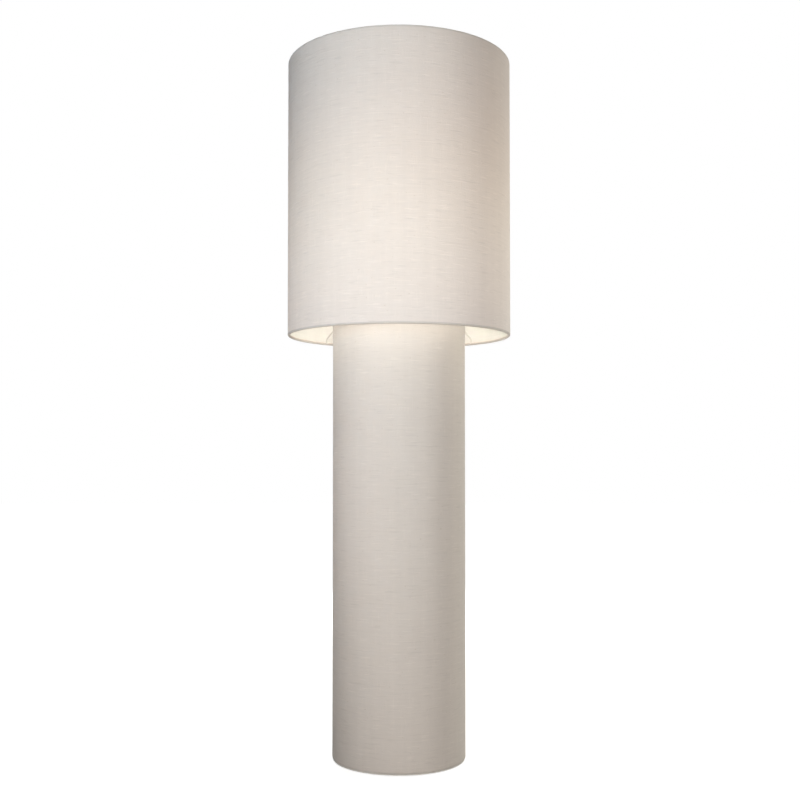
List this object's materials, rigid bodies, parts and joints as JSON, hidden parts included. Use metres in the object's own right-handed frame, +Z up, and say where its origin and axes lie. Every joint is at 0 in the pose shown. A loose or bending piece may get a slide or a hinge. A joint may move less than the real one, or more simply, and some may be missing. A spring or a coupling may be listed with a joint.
{
  "type": "column floor lamp",
  "caption": "Column floor lamp: linen-covered column on a weighted foot, with a wider open drum shade hung round its lit top.",
  "frame": {"origin": "middle of the lamp at floor level, under its feet", "axes": "+Z up, -Y towards the front, +X to the front view's right"},
  "size_m": [0.5, 0.5, 1.556],
  "materials": {
    "linen": "natural linen, plain weave with slubs",
    "liner_sheet": "matt white backing sheet",
    "white_steel": "white powder coat",
    "plated_steel": "zinc plated",
    "nut_nickel": "satin nickel, knurled",
    "black_rubber": "matt black rubber",
    "white_plastic": "moulded white thermoplastic",
    "ceramic": "glazed ceramic",
    "socket_metal": "rolled aluminium thread",
    "contact_brass": "bare brass",
    "lead_sheath": "white lead sheath",
    "opal_glass": "opal glass",
    "bulb_insulator": "black glass insulator with a soldered tip"
  },
  "bodies": {
    "stand": {"base_feet": "black_rubber", "base_plate": "white_steel", "cable_grommet": "black_rubber", "column_cloth": "linen", "column_hoop_lower": "white_steel", "column_hoop_upper": "white_steel", "column_liner": "liner_sheet", "earth_lead": "lead_sheath", "earth_screw": "plated_steel", "holder_1_base": "white_plastic", "holder_1_insert": "ceramic", "holder_1_shell": "white_plastic", "holder_1_socket": "socket_metal", "holder_2_base": "white_plastic", "holder_2_insert": "ceramic", "holder_2_shell": "white_plastic", "holder_2_socket": "socket_metal", "holder_3_base": "white_plastic", "holder_3_insert": "ceramic", "holder_3_shell": "white_plastic", "holder_3_socket": "socket_metal", "holder_contacts": "contact_brass", "holder_lead_1": "lead_sheath", "holder_lead_2": "lead_sheath", "holder_lead_3": "lead_sheath", "holder_nipples": "plated_steel", "holder_nuts": "plated_steel", "lead_splice": "black_rubber", "post_screws": "plated_steel", "riser_lead": "lead_sheath", "shade_posts": "plated_steel", "stem_bolt": "plated_steel", "stem_flange": "plated_steel", "stem_flange_screws": "plated_steel", "stem_plug": "plated_steel", "stem_tube": "plated_steel", "stem_washer": "plated_steel", "terminal_block": "white_plastic", "terminal_screw": "plated_steel", "top_disc": "white_steel"},
    "shade": {"shade_cloth": "linen", "shade_liner": "liner_sheet", "shade_hoop_upper": "white_steel", "shade_hoop_lower": "white_steel", "shade_stays": "white_steel", "shade_carrier": "white_steel"},
    "thumb_nut_1": {"thumb_nut_1": "nut_nickel"},
    "thumb_nut_2": {"thumb_nut_2": "nut_nickel"},
    "thumb_nut_3": {"thumb_nut_3": "nut_nickel"},
    "thumb_nut_4": {"thumb_nut_4": "nut_nickel"},
    "bulb_1": {"bulb_1_globe": "opal_glass", "bulb_1_cap": "socket_metal", "bulb_1_tip": "bulb_insulator"},
    "bulb_2": {"bulb_2_globe": "opal_glass", "bulb_2_cap": "socket_metal", "bulb_2_tip": "bulb_insulator"},
    "bulb_3": {"bulb_3_globe": "opal_glass", "bulb_3_cap": "socket_metal", "bulb_3_tip": "bulb_insulator"}
  },
  "joints": [
    {"name": "shade_lift", "type": "slide", "parent": "stand", "child": "shade", "axis": [0, 0, 1], "range_m": [0, 0.26]},
    {"name": "thumb_nut_1_turn", "type": "hinge", "parent": "shade", "child": "thumb_nut_1", "pos_m": [0.095, 0, 1.0357], "axis": [0, 0, 1], "continuous": true},
    {"name": "thumb_nut_2_turn", "type": "hinge", "parent": "shade", "child": "thumb_nut_2", "pos_m": [0, 0.095, 1.0357], "axis": [0, 0, 1], "continuous": true},
    {"name": "thumb_nut_3_turn", "type": "hinge", "parent": "shade", "child": "thumb_nut_3", "pos_m": [-0.095, 0, 1.0357], "axis": [0, 0, 1], "continuous": true},
    {"name": "thumb_nut_4_turn", "type": "hinge", "parent": "shade", "child": "thumb_nut_4", "pos_m": [0, -0.095, 1.0357], "axis": [0, 0, 1], "continuous": true},
    {"name": "bulb_1_lift", "type": "slide", "parent": "stand", "child": "bulb_1", "axis": [0, 0, 1], "range_m": [0, 0.54]},
    {"name": "bulb_2_lift", "type": "slide", "parent": "stand", "child": "bulb_2", "axis": [0, 0, 1], "range_m": [0, 0.54]},
    {"name": "bulb_3_lift", "type": "slide", "parent": "stand", "child": "bulb_3", "axis": [0, 0, 1], "range_m": [0, 0.54]}
  ]
}
